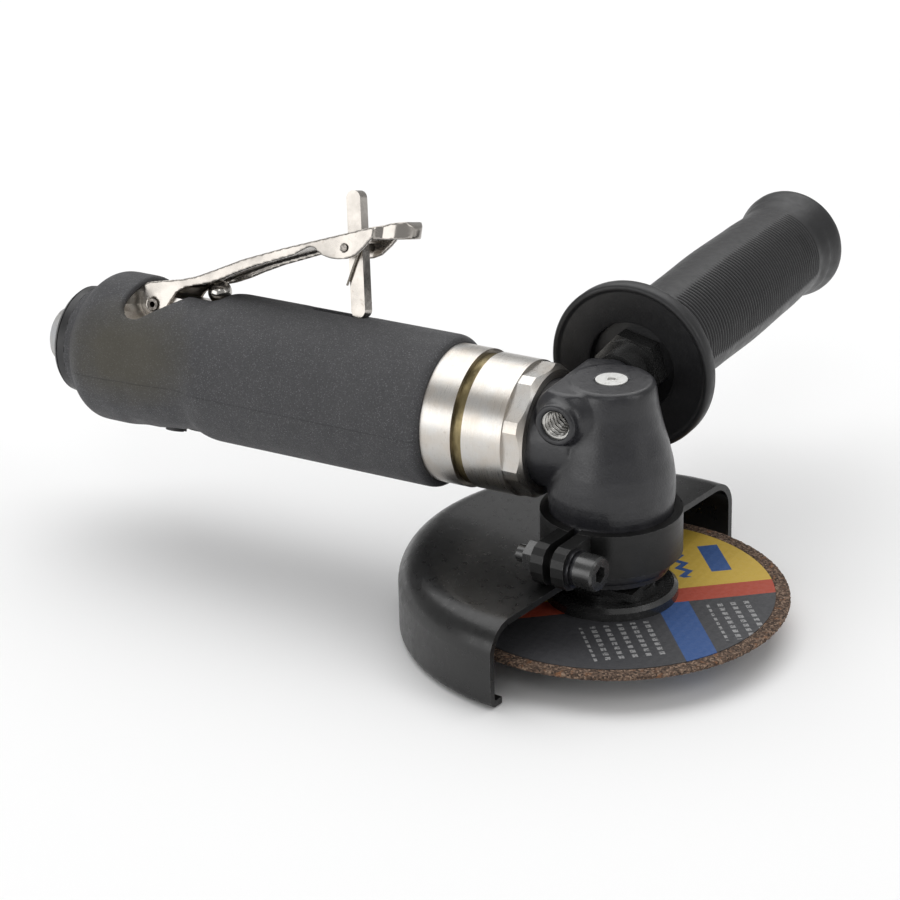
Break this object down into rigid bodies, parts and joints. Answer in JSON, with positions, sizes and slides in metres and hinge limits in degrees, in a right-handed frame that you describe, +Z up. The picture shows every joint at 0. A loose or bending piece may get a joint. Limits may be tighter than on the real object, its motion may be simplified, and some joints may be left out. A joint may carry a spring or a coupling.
{
  "type": "angle grinder",
  "caption": "Right-angle air cut-off grinder with a thin cutting wheel, adjustable wheel guard, hinged throttle lever with a lock lever, and a screw-in side handle.",
  "frame": {"origin": "on the spindle axis, in the plane of the cutting wheel's lower face", "axes": "+Z up the spindle from the wheel into the head, -X along the motor body towards the air inlet, +Y along the side handle towards its free end"},
  "size_m": [0.2378, 0.2053, 0.1121],
  "materials": {
    "sleeve_rubber": "rough speckled",
    "body_steel": "turned, brushed",
    "black_plastic": "matte",
    "felt": "felt",
    "bright_steel": "turned",
    "brass": "turned",
    "machined_steel": "ground",
    "cast_metal": "machined iron",
    "bearing_steel": "polished",
    "head_paint": "satin black",
    "fitting_white": "bright flush fitting",
    "seal_rubber": "smooth",
    "spring_steel": "drawn wire",
    "pin_steel": "ground",
    "grip_rubber": "finely ribbed",
    "vane_plastic": "cloth-filled resin",
    "gear_steel": "cut, hardened",
    "black_oxide": "black oxide",
    "abrasive": "bonded abrasive grit",
    "label_paper": null,
    "guard_paint": "satin black sheet",
    "lever_nickel": "polished nickel"
  },
  "bodies": {
    "motor": {"grip_sleeve": "sleeve_rubber", "motor_housing": "body_steel", "rear_cap": "black_plastic", "muffler_felt": "felt", "inlet_bushing": "bright_steel", "inlet_screen": "brass", "cylinder_liner": "machined_steel", "front_plate": "cast_metal", "rear_plate": "cast_metal", "front_retainer": "body_steel", "spacer_ring": "brass", "coupling_nut": "body_steel", "rear_bearing_outer": "bearing_steel", "front_bearing_outer": "bearing_steel", "pinion_bearing_outer": "bearing_steel", "spindle_bearing_outer": "bearing_steel", "head_housing": "head_paint", "grease_fitting": "fitting_white", "thread_inserts": "bright_steel", "spindle_top_bush": "brass", "bearing_cap": "head_paint", "valve_bushing": "brass", "valve_seat": "seal_rubber", "valve_spring": "spring_steel", "valve_plug": "black_plastic", "lever_pin": "pin_steel", "handle_stud": "bright_steel", "handle_nut": "black_plastic", "handle_grip": "grip_rubber"},
    "rotor": {"rotor": "machined_steel", "rotor_vanes": "vane_plastic", "rear_bearing_inner": "bearing_steel", "front_bearing_inner": "bearing_steel", "bevel_pinion": "gear_steel", "pinion_bearing_inner": "bearing_steel"},
    "spindle": {"spindle": "machined_steel", "bevel_gear": "gear_steel", "gear_circlip": "spring_steel", "spindle_bearing_inner": "bearing_steel", "inner_flange": "black_oxide", "cutting_wheel": "abrasive", "wheel_bush": "bright_steel", "wheel_labels": "label_paper", "outer_flange": "black_oxide", "wheel_nut": "black_oxide"},
    "guard": {"guard_shell": "guard_paint", "guard_collar": "head_paint", "clamp_screw": "black_oxide", "clamp_washers": "black_oxide", "clamp_nut": "black_oxide"},
    "throttle": {"throttle_lever": "lever_nickel", "lock_pin": "pin_steel"},
    "lock": {"lock_lever": "lever_nickel", "lock_spring": "spring_steel"},
    "valve": {"valve_button": "bright_steel"},
    "regulator": {"speed_regulator": "black_plastic"}
  },
  "joints": [
    {"name": "spindle_spin", "type": "hinge", "parent": "motor", "child": "spindle", "pos_m": [0, 0, 0], "axis": [0, 0, 1], "continuous": true},
    {"name": "rotor_spin", "type": "hinge", "parent": "motor", "child": "rotor", "pos_m": [0, 0, 0.0476], "axis": [1, 0, 0], "continuous": true},
    {"name": "guard_swivel", "type": "hinge", "parent": "motor", "child": "guard", "pos_m": [0, 0, 0], "axis": [0, 0, 1], "range_deg": [-60, 60]},
    {"name": "throttle_press", "type": "hinge", "parent": "motor", "child": "throttle", "pos_m": [-0.151, 0.00467, 0.06196], "axis": [0, 0.9511, -0.309], "range_deg": [0, 7], "stiffness_Nm_per_rad": 6, "springref_deg": -3.44},
    {"name": "lock_lever_turn", "type": "hinge", "parent": "throttle", "child": "lock", "pos_m": [-0.0881, 0.01289, 0.08726], "axis": [0, 0.9511, -0.309], "range_deg": [0, 60.5]},
    {"name": "valve_slide", "type": "slide", "parent": "motor", "child": "valve", "axis": [0, -0.309, -0.9511], "range_m": [0, 0.00245], "deforming": ["valve_spring"]},
    {"name": "regulator_turn", "type": "hinge", "parent": "motor", "child": "regulator", "pos_m": [-0.143, -0.00371, 0.03619], "axis": [0, 0.309, 0.9511], "range_deg": [0, 90]}
  ],
  "couplings": [
    {"joint": "rotor_spin", "follows": "spindle_spin", "ratio": -1.5},
    {"joint": "lock_lever_turn", "follows": "throttle_press", "ratio": 8.5714},
    {"joint": "valve_slide", "follows": "throttle_press", "m_per_rad": 0.0198}
  ]
}
